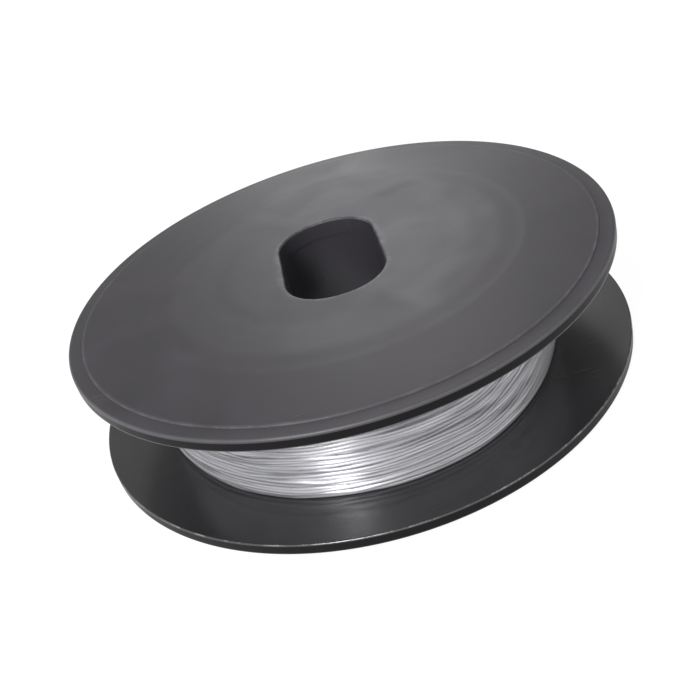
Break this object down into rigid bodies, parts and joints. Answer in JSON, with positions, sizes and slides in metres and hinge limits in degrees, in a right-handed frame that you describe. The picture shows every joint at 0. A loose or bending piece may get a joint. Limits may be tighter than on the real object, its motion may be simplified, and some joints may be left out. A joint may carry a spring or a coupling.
{
  "type": "solder wire spool",
  "caption": "Flat moulded spool with two thin round flanges and an oblong spindle hole, wound with bright solder wire.",
  "frame": {"origin": "on the spool's axis, at the face it rests on", "axes": "+Z along the spool's axis, from the lower flange to the upper one; the spindle hole is longest along Y"},
  "size_m": [0.06, 0.06, 0.015],
  "materials": {
    "moulded_plastic": "charcoal moulded polystyrene, satin, lightly scuffed",
    "solder_wire": "bright drawn tin alloy"
  },
  "bodies": {
    "root": {"lower_flange": "moulded_plastic", "upper_flange": "moulded_plastic", "barrel": "moulded_plastic", "wound_wire_core": "solder_wire", "wound_wire_outer_layer": "solder_wire"}
  },
  "joints": []
}
